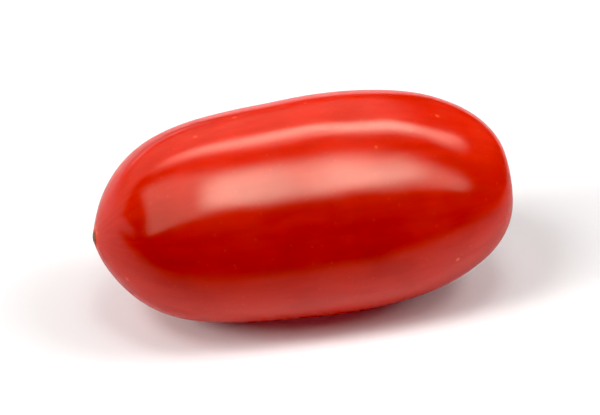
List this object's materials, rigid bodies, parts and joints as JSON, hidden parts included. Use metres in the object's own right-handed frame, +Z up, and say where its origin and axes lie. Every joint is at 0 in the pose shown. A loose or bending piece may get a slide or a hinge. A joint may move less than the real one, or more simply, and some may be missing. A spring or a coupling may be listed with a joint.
{
  "type": "baby plum tomato",
  "caption": "Small oblong plum tomato with glossy red skin, a shallow hollow at its stem scar, a slightly pointed blossom end and a small flat spot that it rests on.",
  "frame": {"origin": "on the surface that the fruit rests on, under the middle of its bounding box", "axes": "+X along the fruit from the blossom tip to the stem end, +Z up"},
  "size_m": [0.041, 0.0214, 0.0211],
  "materials": {
    "skin": "glossy"
  },
  "bodies": {
    "root": {"tomato": "skin"}
  },
  "joints": []
}
